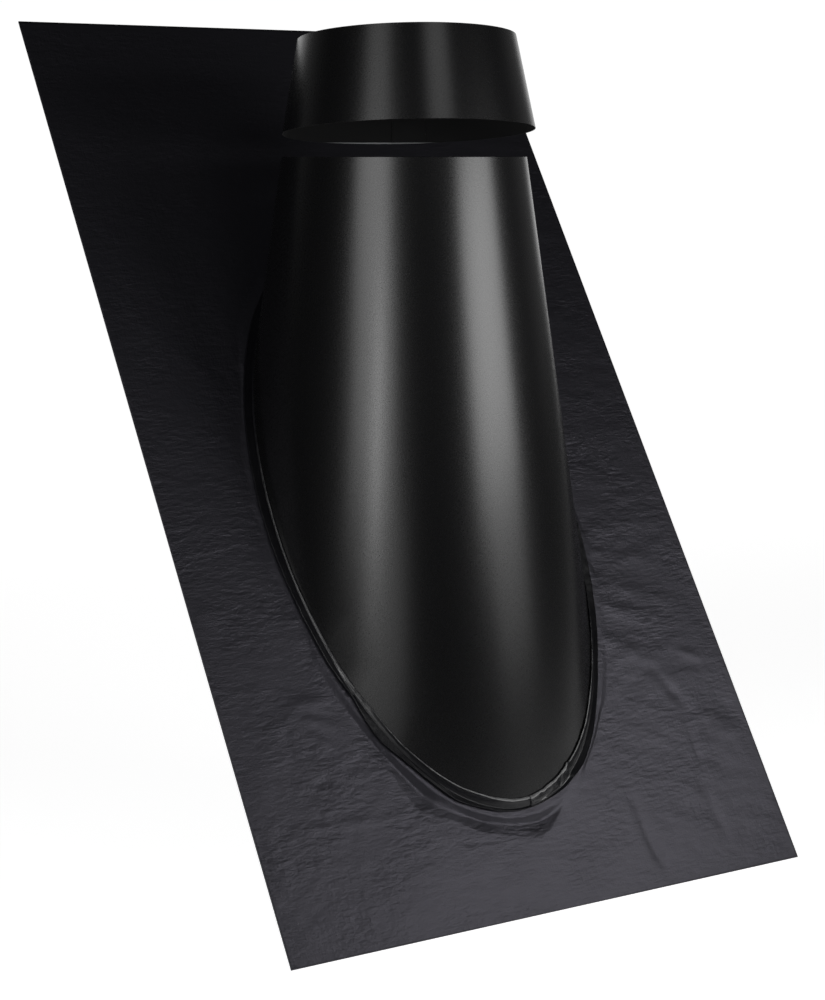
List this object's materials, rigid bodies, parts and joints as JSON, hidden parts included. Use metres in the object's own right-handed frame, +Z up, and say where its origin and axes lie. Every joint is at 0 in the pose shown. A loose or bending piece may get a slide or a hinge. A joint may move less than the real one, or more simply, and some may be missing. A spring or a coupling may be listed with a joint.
{
  "type": "pipe flashing boot",
  "caption": "Pitched roof flashing for a round flue: rectangular sheet apron, tall slant-footed cone with a dressed foot strip, and a loose conical storm collar.",
  "frame": {"origin": "where the flue's axis crosses the roof plane, which is the underside of the apron", "axes": "+Z up the flue's axis, +Y horizontally towards the upper end of the roof slope, +X across the roof"},
  "size_m": [0.55, 0.5325, 0.7885],
  "materials": {
    "apron": "matt black coating on soft creased sheet",
    "cone": "satin black powder coat, fine texture",
    "strip": "smooth satin black, hand dressed",
    "collar": "satin black powder coat, fine texture"
  },
  "bodies": {
    "root": {"apron_sheet": "apron", "flashing_cone": "cone", "foot_strip_front": "strip", "foot_strip_side": "strip", "storm_collar": "collar"}
  },
  "joints": []
}
